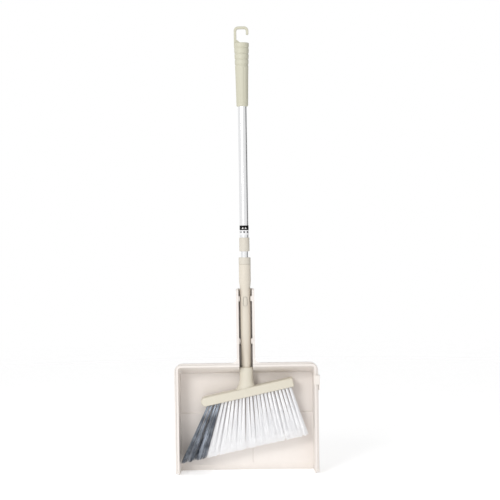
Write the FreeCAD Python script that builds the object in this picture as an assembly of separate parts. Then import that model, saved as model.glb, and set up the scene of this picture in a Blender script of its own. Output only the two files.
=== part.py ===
"""Upright dust pan with a telescopic broom stored in it.

Millimetres. +Z is up, +X is to the right seen from the front, and the front is at -Y, where the pan is open.
The origin is on the standing plane, under the broom's axis and in the pan's middle plane.
"""
import FreeCAD
import Part
import math
import os

from FreeCAD import Vector

# Fits
RUN_GAP = 0.1          # radial clearance of what slides or turns
PRESS_GAP = 0.05       # radial clearance drawn for what is pressed or glued
SEAT_GAP = 0.3         # between curved faces that rest on each other

# Drawing margins
CUT_PAST = 1.0         # a cutting shape runs this far past what it cuts
JOIN_OVERLAP = 1.0     # shapes that are joined run this far into each other
FLAT_SPARE = 0.001     # straight stretch left between two bends

# Pan
PAN_WIDTH = 260.0      # over the rim
PAN_HEIGHT = 202.0     # from the standing plane to the top of the rim
PAN_DEPTH = 50.0       # from the rim's front to the floor plate
PAN_WALL = 2.2
FLOOR_Y = 23.0         # floor plate behind the broom's axis
SIDE_DRAFT = 2.0       # degrees, the side walls open towards the front
BACK_DRAFT = 17.5      # degrees, the back wall
CAVITY_CORNER = 5.0    # radius of the cavity's two back corners
RIM_WIDTH = 7.0
RIM_THICKNESS = 2.4
RIM_SKIRT = 8.0        # depth of the rolled rim
RIM_SKIRT_WALL = 2.0
RIM_CORNER = 16.0
RIM_EDGE_ROUND = 2.2
RIM_GROOVE_INSET = 3.8
RIM_GROOVE_WIDTH = 0.8
RIM_GROOVE_DEPTH = 0.6
FOOT_ROUND = 10.0      # the side walls' front corners on the standing plane
FOOT_SIDE_ROUND = 5.0
LIP_BEVEL_HEIGHT = 10.0
LIP_THICKNESS = 0.8
LIP_BOW = 0.8          # the lip's middle stands this much off the standing plane
LIP_BOW_INSET = 12.0
STEP_HEIGHT = 106.0    # top of the ramp, where the floor drops back into the well
STEP_ROUND = 1.0
RAMP_RISE = 2.5
RAMP_RECESS_INSET = 3.0
GROOVE_X = 10.5
GROOVE_WIDTH = 1.6
GROOVE_DEPTH = 0.6
GROOVE_MARGIN = 4.0

# Poles
INNER_POLE_D = 13.0
POLE_WALL = 0.8
POLE_GAP = 0.7         # radial, between the two poles
OUTER_POLE_LENGTH = 358.0
CAM_SPACE = 32.0       # from the inner pole's end to the outer pole's end

# Short handle, which is also the hand brush's handle
SLEEVE_WALL = 2.8      # outside the inner pole, along the straight stretch
SLEEVE_TOP_WALL = 4.3
SLEEVE_SHOULDER_RISE = 1.0    # from the channel's end to the shoulder
SLEEVE_SHOULDER_LENGTH = 12.0
SLEEVE_FOOT_STEP = 0.8
NECK_STEP = 1.3
NECK_SHOW = 4.0        # length of neck that shows above the socket
NECK_CHAMFER = 1.5
NECK_DEPTH = 39.0      # in the socket
SLEEVE_FOOT = 12.0
SLEEVE_LENGTH = 187.5  # from the socket's mouth to the cap
SLEEVE_BORE_TOP_STEP = 1.7
CAP_HEIGHT = 12.5
CAP_OVERHANG = 0.1
CAP_SPIGOT = 8.5
CAP_ROUND = 1.0
POLE_SEAT_RISE = 92.0  # from the socket's mouth to the seat of the inner pole

# Pan handle channel
CHANNEL_HEIGHT = 143.0  # above the socket's mouth
CHANNEL_WALL = 2.2
CHANNEL_FLANGE = 2.2    # stands out from each wall
CHANNEL_FLANGE_THICKNESS = 2.2
CHANNEL_FRONT_MARGIN = 1.7
CHANNEL_SHOULDER_LOW = 10.0
CHANNEL_SHOULDER_HIGH = 50.0
CHANNEL_SHOULDER_ROUND = 22.0
CHANNEL_END_ROUND = 5.0
CHANNEL_FILLET = 9.0
SOCKET_NOTCH_GAP = 0.3
NUB_HEIGHT = 9.0
NUB_GAP = 0.2           # between a nub's tip and the sleeve as it passes
NUB_Y = -7.0
UPPER_NUB_DROP = 18.0   # below the channel's end
LOWER_NUB_DROP = 95.0
CRADLE_THICKNESS = 3.0
CRADLE_FRONT_Y = 3.0

# Rim clip
CLIP_TOP_DROP = 24.0    # below the rim's top
CLIP_HEIGHT = 17.0
CLIP_WALL = 2.2
CLIP_OVERLAP = 1.2      # past the rim's inner edge
CLIP_HOOK = 4.0
CLIP_TAB = 10.0
CLIP_TAB_DEPTH = 9.0
CLIP_GAP = 0.1
CLIP_ROUND = 0.8

# Brush block and bristles
SOCKET_DROP = 10.0      # the socket's mouth under the rim's top
SOCKET_WALL = 3.9
BAR_SLOPE = 12.0        # degrees, rising to the right
BAR_DROP = 53.8         # from the socket's mouth to the bar's underside on the axis
BAR_HEIGHT = 16.3
BAR_DEPTH = 30.0
BAR_LEFT_MARGIN = 40.5  # from the cavity's side
BAR_RIGHT_MARGIN = 34.0
BAR_LEFT_FOOT_ROUND = 8.0
BAR_LEFT_TOP_ROUND = 7.0
BAR_RIGHT_ROUND = 3.0
BAR_EDGE_ROUND = 2.8
SOCKET_ROUND = 1.2
FLARE_START = 20.0      # below the socket's mouth
FLARE_HEIGHT = 26.0
FLARE_SPREAD = 13.0
FLARE_DEPTH_SPREAD = 1.3
FLARE_SECTIONS = 5
TUFT_PITCH = 6.6
TUFT_LEFT_MARGIN = 11.5
TUFT_RIGHT_MARGIN = 8.0
TUFT_HOLE_D = 4.4
TUFT_HOLE_DEPTH = 11.0
TUFT_ROOT_DEPTH = 8.4
TUFT_ROOT_SHOW = 0.5    # a root reaches this far out of its hole
GREY_TUFTS = 4
TUFT_ROWS = 4
ROW_PITCH = 6.0
ROW_GAP = 1.0           # between rows at the tips
COLOUR_GAP = 0.5
TIP_HEIGHT = 18.6       # lowest tips above the standing plane
TIP_LEFT_GAP = 0.8      # to the cavity's side
TIP_RIGHT_GAP = 10.5
TIP_FLOOR_GAP = 2.2
TIP_FRONT_GAP = 8.2
TIP_SPREAD = 0.22       # the tips on the left spread out by this share
ANCHOR_THICKNESS = 0.4
ANCHOR_HEIGHT = 2.2
ANCHOR_SIDE_GAP = 0.2

# Button
BUTTON_DROP = 23.0      # below the channel's end
BUTTON_WIDTH = 6.6
BUTTON_HEIGHT = 16.4
BUTTON_TRAVEL = 3.0
BUTTON_BASE_LIP = 1.0
BUTTON_BASE_THICKNESS = 1.4
BUTTON_BASE_GAP = 0.34  # behind the pole's wall
BUTTON_SIDE_GAP = 0.6   # around the button, in its window
BUTTON_POCKET_GAP = 0.3
BUTTON_STROKE_SPARE = 0.6
PLUG_FLANGE = 3.0
PLUG_OVER_BUTTON = 22.0
SPRING_WIDTH = 4.4
SPRING_THICKNESS = 0.35
SPRING_HALF_LENGTH = 8.5
SPRING_END_GAP = 1.0
SPRING_POCKET_WALL = 1.45

# Twist lock
CAM_PLUG_LENGTH = 22.0
CAM_SHOULDER = 3.0
CAM_HUB_R = 3.8
CAM_RING_LENGTH = 16.0
CAM_HEAD = 3.0
CAM_HEAD_STEP = 0.6
CAM_END_GAP = 0.2
CAM_SLIT = 2.5

# Collar, label and grip
COLLAR_GAP = 11.0       # from the sleeve's cap to the collar
COLLAR_HEIGHT = 25.0
COLLAR_WALL = 1.3
COLLAR_LIP = 9.0
COLLAR_ROUND = 0.9
LABEL_RISE = 5.0        # above the collar
LABEL_HEIGHT = 17.0
LABEL_THICKNESS = 0.17
LABEL_GLUE = 0.03
GRIP_HEIGHT = 115.0
GRIP_OVER_POLE = 11.0
GRIP_FOOT_WALL = 2.6
GRIP_WAIST_RISE = 54.0  # from the grip's foot to where it starts to flare
GRIP_WAIST_WALL = 3.6
GRIP_TOP_WALL = 5.65
GRIP_FOOT_ROUND = 2.2
GRIP_TOP_ROUND = 1.2
GRIP_RINGS = 4
GRIP_RING_PITCH = 10.4
GRIP_RING_DROP = 9.0
GRIP_RING_R = 1.7
GRIP_RING_DEPTH = 0.9
GRIP_FLUTES = 8
GRIP_FLUTE_R = 3.0
GRIP_FLUTE_DEPTH = 0.6
GRIP_FLUTE_START = 9.0
GRIP_FLUTE_LENGTH = 60.0
HOOK_HEIGHT = 30.0
HOOK_BAR = 4.7
HOOK_WIDTH = 7.0
HOOK_TIP_DROP = 15.3
HOOK_TIP_INSET = 0.6
HOOK_TIP_FLAT = 0.2
HOOK_ROUND = 8.0
HOOK_EDGE_ROUND = 1.0
HOOK_GUSSET = 6.0
HOOK_GUSSET_ROUND = 2.0
HOOK_ROOT = 8.0

# Levels and places that follow from the sizes above
rim_y = FLOOR_Y - PAN_DEPTH
opening_half = PAN_WIDTH / 2 - RIM_WIDTH
opening_top = PAN_HEIGHT - RIM_WIDTH
inner_pole_r = INNER_POLE_D / 2
inner_bore_r = inner_pole_r - POLE_WALL
outer_bore_r = inner_pole_r + POLE_GAP
outer_pole_r = outer_bore_r + POLE_WALL
plug_r = inner_bore_r - PRESS_GAP
sleeve_r = inner_pole_r + SLEEVE_WALL
sleeve_top_r = inner_pole_r + SLEEVE_TOP_WALL
sleeve_bore_r = inner_pole_r + RUN_GAP
sleeve_core_r = inner_bore_r - RUN_GAP
neck_r = sleeve_r - NECK_STEP
socket_r = neck_r + SOCKET_WALL
socket_top = PAN_HEIGHT - SOCKET_DROP
sleeve_end = socket_top + SLEEVE_LENGTH
cap_top = sleeve_end + CAP_HEIGHT
pole_seat = socket_top + POLE_SEAT_RISE
inner_pole_foot = pole_seat + PLUG_FLANGE
collar_foot = cap_top + COLLAR_GAP
outer_pole_foot = collar_foot + COLLAR_LIP
outer_pole_end = outer_pole_foot + OUTER_POLE_LENGTH
inner_pole_end = outer_pole_end - CAM_SPACE
grip_end = outer_pole_end + GRIP_OVER_POLE
grip_foot = grip_end - GRIP_HEIGHT
channel_half = socket_r + SOCKET_NOTCH_GAP
channel_end = socket_top + CHANNEL_HEIGHT
channel_front_y = -(sleeve_r + CHANNEL_FRONT_MARGIN)
web_y = channel_half
nub_levels = (channel_end - UPPER_NUB_DROP, channel_end - LOWER_NUB_DROP)
button_z = channel_end - BUTTON_DROP
button_base_half = BUTTON_WIDTH / 2 + BUTTON_BASE_LIP
button_base_front = BUTTON_BASE_GAP - math.sqrt(inner_bore_r ** 2 - button_base_half ** 2)
button_base_back = button_base_front + BUTTON_BASE_THICKNESS
spring_pocket_back = plug_r - SPRING_POCKET_WALL
bar_root_z = socket_top - BAR_DROP
bar_left = -(opening_half - BAR_LEFT_MARGIN)
bar_right = opening_half - BAR_RIGHT_MARGIN


def on_xz(y):
    """Places outline points (x, z) in the plane at y."""
    return lambda point: Vector(point.x, y, point.y)


def on_yz(x):
    """Places outline points (y, z) in the plane at x."""
    return lambda point: Vector(x, point.x, point.y)


def on_xy(z):
    """Places outline points (x, y) in the plane at z."""
    return lambda point: Vector(point.x, point.y, z)


def outline(corners, place):
    """Closed wire through (u, v, radius) corners, each rounded by its own radius."""
    points = [Vector(u, v, 0) for u, v, radius in corners]
    bends = []
    for i, (u, v, radius) in enumerate(corners):
        here = points[i]
        back = (points[i - 1] - here).normalize()
        ahead = (points[(i + 1) % len(points)] - here).normalize()
        if radius == 0:
            bends.append((here, None, here))
            continue
        half_angle = back.getAngle(ahead) / 2
        reach = radius / math.tan(half_angle)
        inward = (back + ahead).normalize()
        middle = here + inward * (radius / math.sin(half_angle) - radius)
        bends.append((here + back * reach, middle, here + ahead * reach))
    edges = []
    for i, (entry, middle, leave) in enumerate(bends):
        start = bends[i - 1][2]
        if start.distanceToPoint(entry) > 1e-6:
            edges.append(Part.makeLine(place(start), place(entry)))
        if middle is not None:
            edges.append(Part.Arc(place(entry), place(middle), place(leave)).toShape())
    return Part.Wire(edges)


def prism(corners, place, sweep):
    """Solid swept along a vector from a rounded outline."""
    return Part.Face(outline(corners, place)).extrude(sweep)


def turned(profile):
    """Solid of revolution about the Z axis from (radius, z) points."""
    points = [Vector(radius, 0, z) for radius, z in profile]
    face = Part.Face(Part.makePolygon(points + points[:1]))
    return face.revolve(Vector(0, 0, 0), Vector(0, 0, 1), 360)


def tube(outer_r, inner_r, foot, end):
    """Straight tube on the Z axis."""
    return turned([(inner_r, foot), (outer_r, foot), (outer_r, end), (inner_r, end)])


def box(x_range, y_range, z_range):
    """Block between two corners."""
    sides = [high - low for low, high in (x_range, y_range, z_range)]
    return Part.makeBox(*sides, Vector(x_range[0], y_range[0], z_range[0]))


def mirrored(shape):
    """The shape's twin on the other side of the middle plane."""
    return shape.mirror(Vector(0, 0, 0), Vector(1, 0, 0))


def both_sides(shape):
    """The shape and its twin as a list."""
    return [shape, mirrored(shape)]


def edges_on(shape, test):
    """Edges whose ends and middle all pass the test."""
    chosen = []
    for edge in shape.Edges:
        middle = edge.valueAt((edge.FirstParameter + edge.LastParameter) / 2)
        places = [vertex.Point for vertex in edge.Vertexes] + [middle]
        if all(test(place) for place in places):
            chosen.append(edge)
    return chosen


def near(a, b):
    """Whether two lengths agree."""
    return abs(a - b) < 1e-4


def cavity_half(y):
    """Half width of the cavity at a depth."""
    return opening_half - (y - rim_y) * math.tan(math.radians(SIDE_DRAFT))


def cavity_top(y):
    """Height of the cavity's back wall at a depth."""
    return opening_top - (y - rim_y) * math.tan(math.radians(BACK_DRAFT))


def arch(grow, y, foot, corner_r):
    """Cavity section at depth y, grown outwards, as a wire with two rounded top corners."""
    corners = arch_corners(cavity_half(y) + grow, cavity_top(y) + grow, foot, corner_r)
    return outline(corners, on_xz(y))


def arch_corners(half, top, foot, corner_r):
    """Corners of an arch outline, open side down."""
    return [(-half, foot, 0), (-half, top, corner_r), (half, top, corner_r), (half, foot, 0)]


def rim_arch(inset, foot):
    """Corners of the rim's outline, moved inwards."""
    return arch_corners(PAN_WIDTH / 2 - inset, PAN_HEIGHT - inset, foot, RIM_CORNER - inset)


def ramp_y(z):
    """Front face of the ramp at a height above the standing plane."""
    return FLOOR_Y - RAMP_RISE * (z - LIP_BEVEL_HEIGHT) / (STEP_HEIGHT - LIP_BEVEL_HEIGHT)


def cavity():
    """The dust space, run past the rim's front and below the standing plane."""
    back = arch(0, FLOOR_Y, -CUT_PAST, CAVITY_CORNER)
    front = arch(0, rim_y - CUT_PAST, -CUT_PAST, CAVITY_CORNER)
    return Part.makeLoft([back, front], True, True)


def tray_shell():
    """Floor plate with the back and side walls, solid, trimmed flat on the standing plane."""
    back = arch(PAN_WALL, FLOOR_Y + PAN_WALL, -CUT_PAST, CAVITY_CORNER + PAN_WALL)
    front = arch(PAN_WALL, rim_y, -CUT_PAST, CAVITY_CORNER + PAN_WALL)
    below = box((-PAN_WIDTH, PAN_WIDTH), (-PAN_DEPTH, PAN_DEPTH), (-2 * CUT_PAST, 0))
    return Part.makeLoft([back, front], True, True).cut(below)


def rim():
    """Rolled rim: a flange with a rounded edge and a skirt turned back from it."""
    body = prism(rim_arch(0, 0), on_xz(rim_y), Vector(0, RIM_SKIRT, 0))
    front_edges = edges_on(body, lambda p: near(p.y, rim_y))
    round_edges = [edge for edge in front_edges if edge.BoundBox.ZMax > RIM_EDGE_ROUND]
    body = body.makeFillet(RIM_EDGE_ROUND, round_edges)
    inside = rim_arch(RIM_SKIRT_WALL, -CUT_PAST)
    hollow = prism(inside, on_xz(rim_y + RIM_THICKNESS), Vector(0, RIM_SKIRT, 0))
    return body.cut(hollow)


def rim_groove():
    """Shallow groove along the rim's face, as the ring to cut."""
    depth = Vector(0, RIM_GROOVE_DEPTH + CUT_PAST, 0)
    start = on_xz(rim_y - CUT_PAST)
    inner = RIM_GROOVE_INSET
    outer = RIM_GROOVE_INSET + RIM_GROOVE_WIDTH
    wide = arch_corners(opening_half + outer, opening_top + outer, -CUT_PAST, CAVITY_CORNER + outer)
    slim = arch_corners(opening_half + inner, opening_top + inner, -2 * CUT_PAST, CAVITY_CORNER + inner)
    return prism(wide, start, depth).cut(prism(slim, start, depth))


def channel():
    """Short handle: a channel with front flanges that run down into the rim."""
    side = channel_half + CHANNEL_WALL
    web_back = web_y + CHANNEL_WALL
    into_wall = PAN_WALL / 2
    low = PAN_HEIGHT + CHANNEL_SHOULDER_LOW
    high = PAN_HEIGHT + CHANNEL_SHOULDER_HIGH
    profile = [
        (web_back, cavity_top(web_back) + into_wall, 0),
        (web_back, channel_end, 0),
        (channel_front_y, channel_end, CHANNEL_END_ROUND),
        (channel_front_y, high, CHANNEL_SHOULDER_ROUND),
        (rim_y, low, CHANNEL_SHOULDER_ROUND),
        (rim_y, opening_top + into_wall, 0),
    ]
    walls = prism(profile, on_yz(-side), Vector(2 * side, 0, 0))
    wide = side + CHANNEL_FLANGE
    slab = prism(profile, on_yz(-wide), Vector(2 * wide, 0, 0))
    flanges = slab.cut(slab.translated(Vector(0, CHANNEL_FLANGE_THICKNESS, 0)))
    corner_x = wide + CHANNEL_FILLET
    corner_z = PAN_HEIGHT + CHANNEL_FILLET
    web = box((wide - JOIN_OVERLAP, corner_x), (rim_y, rim_y + CHANNEL_FLANGE_THICKNESS),
              (PAN_HEIGHT - RIM_EDGE_ROUND - JOIN_OVERLAP, corner_z))
    drum_foot = Vector(corner_x, rim_y - CUT_PAST, corner_z)
    drum = Part.makeCylinder(CHANNEL_FILLET, PAN_DEPTH, drum_foot, Vector(0, 1, 0))
    return [walls, flanges] + both_sides(web.cut(drum))


def snap_nubs():
    """Half-round nubs on the channel's walls, in front of the stored handle."""
    reach = channel_half - sleeve_r - NUB_GAP
    keep = box((0, channel_half + CHANNEL_WALL), (channel_front_y, web_y), (0, channel_end))
    nubs = []
    for level in nub_levels:
        foot = Vector(channel_half, NUB_Y, level - NUB_HEIGHT / 2)
        nubs += both_sides(Part.makeCylinder(reach, NUB_HEIGHT, foot).common(keep))
    return nubs


def cradles():
    """Ribs across the channel's back, hollowed to carry the handle."""
    ribs = []
    for level in nub_levels:
        rib = box((-channel_half, channel_half), (CRADLE_FRONT_Y, web_y),
                  (level - CRADLE_THICKNESS / 2, level + CRADLE_THICKNESS / 2))
        bed = Part.makeCylinder(sleeve_r + SEAT_GAP, CRADLE_THICKNESS + 2 * CUT_PAST,
                                Vector(0, 0, level - CRADLE_THICKNESS / 2 - CUT_PAST))
        ribs.append(rib.cut(bed))
    return ribs


def ramp():
    """Wedge on the floor plate, from the lip up to the step."""
    half = cavity_half(FLOOR_Y) + PAN_WALL / 2
    buried = FLOOR_Y + PAN_WALL / 4
    profile = [
        (buried, LIP_BEVEL_HEIGHT, 0),
        (FLOOR_Y, LIP_BEVEL_HEIGHT, 0),
        (ramp_y(STEP_HEIGHT), STEP_HEIGHT, STEP_ROUND),
        (buried, STEP_HEIGHT, 0),
    ]
    return prism(profile, on_yz(-half), Vector(2 * half, 0, 0))


def ramp_recess():
    """Hollow behind the ramp, which keeps the floor plate's wall even."""
    half = cavity_half(FLOOR_Y) - RAMP_RECESS_INSET
    top = STEP_HEIGHT - PAN_WALL
    back = FLOOR_Y + PAN_WALL
    profile = [
        (back + CUT_PAST, LIP_BEVEL_HEIGHT, 0),
        (back, LIP_BEVEL_HEIGHT, 0),
        (ramp_y(top) + PAN_WALL, top, 0),
        (back + CUT_PAST, top, 0),
    ]
    return prism(profile, on_yz(-half), Vector(2 * half, 0, 0))


def lip_bevel():
    """Wedge cut from the floor plate's front face, down to the thin lip."""
    front = FLOOR_Y - CUT_PAST
    profile = [
        (front, LIP_BEVEL_HEIGHT, 0),
        (FLOOR_Y, LIP_BEVEL_HEIGHT, 0),
        (FLOOR_Y + PAN_WALL - LIP_THICKNESS, 0, 0),
        (front, 0, 0),
    ]
    half = cavity_half(FLOOR_Y)
    return prism(profile, on_yz(-half), Vector(2 * half, 0, 0))


def lip_bow():
    """Shallow arc under the lip."""
    half = opening_half - LIP_BOW_INSET
    y = FLOOR_Y - CUT_PAST
    left = Vector(-half, y, 0)
    right = Vector(half, y, 0)
    arc = Part.Arc(left, Vector(0, y, LIP_BOW), right).toShape()
    down = Vector(0, 0, -CUT_PAST)
    rest = Part.makePolygon([right, right + down, left + down, left])
    return Part.Face(Part.Wire([arc] + rest.Edges)).extrude(Vector(0, PAN_WALL + 2 * CUT_PAST, 0))


def foot_rounding():
    """What the side walls' front corners lose, where they meet the standing plane."""
    edge = PAN_WIDTH / 2
    past = edge + CUT_PAST
    front = rim_y - CUT_PAST
    corner = box((-past, past), (front, rim_y + FOOT_ROUND), (-CUT_PAST, FOOT_ROUND))
    drum_foot = Vector(-past, rim_y + FOOT_ROUND, FOOT_ROUND)
    drum = Part.makeCylinder(FOOT_ROUND, 2 * past, drum_foot, Vector(1, 0, 0))
    side = box((edge - FOOT_SIDE_ROUND, past), (front, FLOOR_Y), (-CUT_PAST, FOOT_SIDE_ROUND))
    post_foot = Vector(edge - FOOT_SIDE_ROUND, front, FOOT_SIDE_ROUND)
    post = Part.makeCylinder(FOOT_SIDE_ROUND, PAN_DEPTH + 2 * CUT_PAST, post_foot, Vector(0, 1, 0))
    return [corner.cut(drum)] + both_sides(side.cut(post))


def floor_groove():
    """Narrow groove up the ramp, to the right of the middle."""
    low = LIP_BEVEL_HEIGHT + GROOVE_MARGIN
    high = STEP_HEIGHT - GROOVE_MARGIN
    profile = [
        (ramp_y(low) - CUT_PAST, low, 0),
        (ramp_y(low) + GROOVE_DEPTH, low, 0),
        (ramp_y(high) + GROOVE_DEPTH, high, 0),
        (ramp_y(high) - CUT_PAST, high, 0),
    ]
    return prism(profile, on_yz(GROOVE_X - GROOVE_WIDTH / 2), Vector(GROOVE_WIDTH, 0, 0))


def pan_tray():
    """The pan in one moulding: tray, rolled rim and channel handle."""
    stem_way = box((-channel_half, channel_half), (2 * rim_y, web_y), (STEP_HEIGHT, channel_end + CUT_PAST))
    pan = tray_shell().fuse([rim()] + channel())
    pan = pan.cut([cavity(), stem_way, rim_groove()])
    pan = pan.fuse([ramp()] + snap_nubs() + cradles())
    pan = pan.cut([ramp_recess(), lip_bevel(), lip_bow(), floor_groove()] + foot_rounding())
    return pan.removeSplitter()


def rim_clip():
    """Small clip snapped over the right rim, with a tab down its outer side."""
    top = PAN_HEIGHT - CLIP_TOP_DROP
    edge = PAN_WIDTH / 2 + CLIP_GAP
    outer = edge + CLIP_WALL
    front = rim_y - CLIP_WALL
    back = rim_y + RIM_SKIRT + CLIP_GAP
    inner = opening_half - CLIP_OVERLAP
    profile = [
        (inner, front, CLIP_ROUND),
        (outer, front, CLIP_ROUND),
        (outer, back + CLIP_WALL, CLIP_ROUND),
        (edge - CLIP_HOOK, back + CLIP_WALL, CLIP_ROUND),
        (edge - CLIP_HOOK, back, 0),
        (edge, back, 0),
        (edge, rim_y, 0),
        (inner, rim_y, 0),
    ]
    clip = prism(profile, on_xy(top - CLIP_HEIGHT), Vector(0, 0, CLIP_HEIGHT))
    tab = box((edge, outer), (front + CLIP_ROUND, front + CLIP_TAB_DEPTH),
              (top - CLIP_HEIGHT - CLIP_TAB, top - CLIP_HEIGHT))
    tab = tab.makeFillet(CLIP_ROUND, edges_on(tab, lambda p: near(p.x, outer) and p.z < top - CLIP_HEIGHT))
    return clip.fuse(tab).removeSplitter()


def bar_to_place(shape):
    """Turns a shape drawn along the bar to the bar's slope and height."""
    turned_shape = shape.copy()
    turned_shape.rotate(Vector(0, 0, 0), Vector(0, 1, 0), -BAR_SLOPE)
    turned_shape.translate(Vector(0, 0, bar_root_z))
    return turned_shape


def along_bar(x, z):
    """Place along the bar, and above its underside, of a point in the pan."""
    slope = math.radians(BAR_SLOPE)
    rise = z - bar_root_z
    return x * math.cos(slope) + rise * math.sin(slope), rise * math.cos(slope) - x * math.sin(slope)


def tip_line():
    """Left and right end of the tips along the bar, and how far they hang below it."""
    side = cavity_half(ramp_y(STEP_HEIGHT) - TIP_FLOOR_GAP)
    left_x = TIP_LEFT_GAP - side
    right_x = side - TIP_RIGHT_GAP
    right_z = TIP_HEIGHT + (right_x - left_x) * math.tan(math.radians(BAR_SLOPE))
    tip_left, tip_drop = along_bar(left_x, TIP_HEIGHT)
    tip_right = along_bar(right_x, right_z)[0]
    return tip_left, tip_right, -tip_drop


def tuft_roots():
    """Places of the tufts along the bar's underside."""
    first = bar_left + TUFT_LEFT_MARGIN
    count = int((bar_right - TUFT_RIGHT_MARGIN - first) / TUFT_PITCH) + 1
    return [first + TUFT_PITCH * i for i in range(count)]


def tip_place(share):
    """Place along the bar of the tips at a share of the bristles' width, spread more on the left."""
    tip_left, tip_right, drop = tip_line()
    spread = share + TIP_SPREAD * share * (1 - share)
    return tip_left + (tip_right - tip_left) * spread


def row_places():
    """Root and tip distance from the axis of every row, and a row's thickness at its tips."""
    back = ramp_y(STEP_HEIGHT) - TIP_FLOOR_GAP
    front = rim_y + TIP_FRONT_GAP
    pitch = (back - front) / TUFT_ROWS
    middle = (TUFT_ROWS - 1) / 2
    roots = [(row - middle) * ROW_PITCH for row in range(TUFT_ROWS)]
    tips = [front + pitch * (row + 0.5) for row in range(TUFT_ROWS)]
    return roots, tips, pitch - ROW_GAP


def tuft_axis(index, row):
    """Root point of a tuft on the bar's underside and its unit direction into the bar."""
    roots = tuft_roots()
    row_roots, row_tips = row_places()[:2]
    root = Vector(roots[index], row_roots[row], 0)
    tip = Vector(tip_place((index + 0.5) / len(roots)), row_tips[row], -tip_line()[2])
    return root, (root - tip).normalize()


def brush_block():
    """Slanted bar with a flared socket for the handle and rows of tuft holes."""
    half = BAR_DEPTH / 2
    corners = [
        (bar_left, 0, BAR_LEFT_FOOT_ROUND),
        (bar_left, BAR_HEIGHT, BAR_LEFT_TOP_ROUND),
        (bar_right, BAR_HEIGHT, BAR_RIGHT_ROUND),
        (bar_right, 0, BAR_RIGHT_ROUND),
    ]
    bar = prism(corners, on_xz(-half), Vector(0, BAR_DEPTH, 0))
    bar = bar.makeFillet(BAR_EDGE_ROUND, edges_on(bar, lambda p: near(abs(p.y), half)))
    bar = bar_to_place(bar)
    sections = []
    for i in range(FLARE_SECTIONS):
        share = i / (FLARE_SECTIONS - 1)
        centre = Vector(0, 0, socket_top - FLARE_START - FLARE_HEIGHT * share)
        wide = socket_r + FLARE_SPREAD * share ** 2
        deep = socket_r + FLARE_DEPTH_SPREAD * share ** 2
        sections.append(Part.Wire(Part.Ellipse(centre, wide, deep).toShape()))
    flare = Part.makeLoft(sections, True, False)
    socket = Part.makeCylinder(socket_r, FLARE_START, Vector(0, 0, socket_top - FLARE_START))
    socket = socket.makeFillet(SOCKET_ROUND, edges_on(socket, lambda p: near(p.z, socket_top)))
    block = bar.fuse([flare, socket])
    bore = Part.makeCylinder(neck_r + PRESS_GAP, NECK_DEPTH + CUT_PAST, Vector(0, 0, socket_top - NECK_DEPTH))
    holes = []
    for row in range(TUFT_ROWS):
        for index in range(len(tuft_roots())):
            root, inward = tuft_axis(index, row)
            start = root - inward * TUFT_HOLE_D
            hole = Part.makeCylinder(TUFT_HOLE_D / 2, TUFT_HOLE_DEPTH + TUFT_HOLE_D, start, inward)
            holes.append(bar_to_place(hole))
    return block.cut([bore] + holes)


def tuft_row(row, first, last):
    """One row of tufts of one colour: a fan-shaped body with a root in every hole."""
    roots = tuft_roots()
    drop = tip_line()[2]
    row_roots, row_tips, thickness = row_places()
    root_half = TUFT_HOLE_D / 2
    tip_half = thickness / 2
    side = (TUFT_PITCH - COLOUR_GAP) / 2
    root_left = roots[first] - side
    root_right = roots[last] + side
    tip_left = tip_place(first / len(roots)) + COLOUR_GAP / 2
    tip_right = tip_place((last + 1) / len(roots)) - COLOUR_GAP / 2
    upper = [
        Vector(root_left, row_roots[row] - root_half, 0),
        Vector(root_right, row_roots[row] - root_half, 0),
        Vector(root_right, row_roots[row] + root_half, 0),
        Vector(root_left, row_roots[row] + root_half, 0),
    ]
    lower = [
        Vector(tip_left, row_tips[row] - tip_half, -drop),
        Vector(tip_right, row_tips[row] - tip_half, -drop),
        Vector(tip_right, row_tips[row] + tip_half, -drop),
        Vector(tip_left, row_tips[row] + tip_half, -drop),
    ]
    wires = [Part.makePolygon(ring + ring[:1]) for ring in (upper, lower)]
    fan = Part.makeLoft(wires, True, True)
    pegs = []
    for index in range(first, last + 1):
        root, inward = tuft_axis(index, row)
        start = root - inward * TUFT_HOLE_D / 2
        pegs.append(Part.makeCylinder(root_half - RUN_GAP, TUFT_ROOT_DEPTH + TUFT_HOLE_D / 2, start, inward))
    above = box((2 * bar_left, 2 * bar_right), (-BAR_DEPTH, BAR_DEPTH), (-TUFT_ROOT_SHOW, BAR_HEIGHT))
    body = fan.fuse([peg.common(above) for peg in pegs])
    return bar_to_place(body)


def tuft_anchors():
    """Flat wire anchors at the bottom of the tuft holes."""
    anchors = []
    half = ANCHOR_THICKNESS / 2
    half_width = TUFT_HOLE_D / 2 - ANCHOR_SIDE_GAP
    for row in range(TUFT_ROWS):
        for index in range(len(tuft_roots())):
            root, inward = tuft_axis(index, row)
            plate = box((-half, half), (-half_width, half_width), (0, ANCHOR_HEIGHT))
            plate.Placement = FreeCAD.Placement(
                root + inward * (TUFT_HOLE_DEPTH - ANCHOR_HEIGHT - RUN_GAP),
                FreeCAD.Rotation(Vector(0, 0, 1), inward),
            )
            anchors.append(bar_to_place(plate))
    return Part.makeCompound(anchors)


def stadium(width, height, y_range):
    """Upright slot shape around the button's centre, swept through a depth range."""
    half = width / 2
    foot = button_z - height / 2
    end = button_z + height / 2
    round_r = half - FLAT_SPARE
    corners = [(-half, foot, round_r), (-half, end, round_r), (half, end, round_r), (half, foot, round_r)]
    return prism(corners, on_xz(y_range[0]), Vector(0, y_range[1] - y_range[0], 0))


def button_window():
    """Window for the button through the handle's and the pole's front wall."""
    gap = 2 * BUTTON_SIDE_GAP
    return stadium(BUTTON_WIDTH + gap, BUTTON_HEIGHT + gap, (-2 * sleeve_r, button_base_back))


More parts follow.
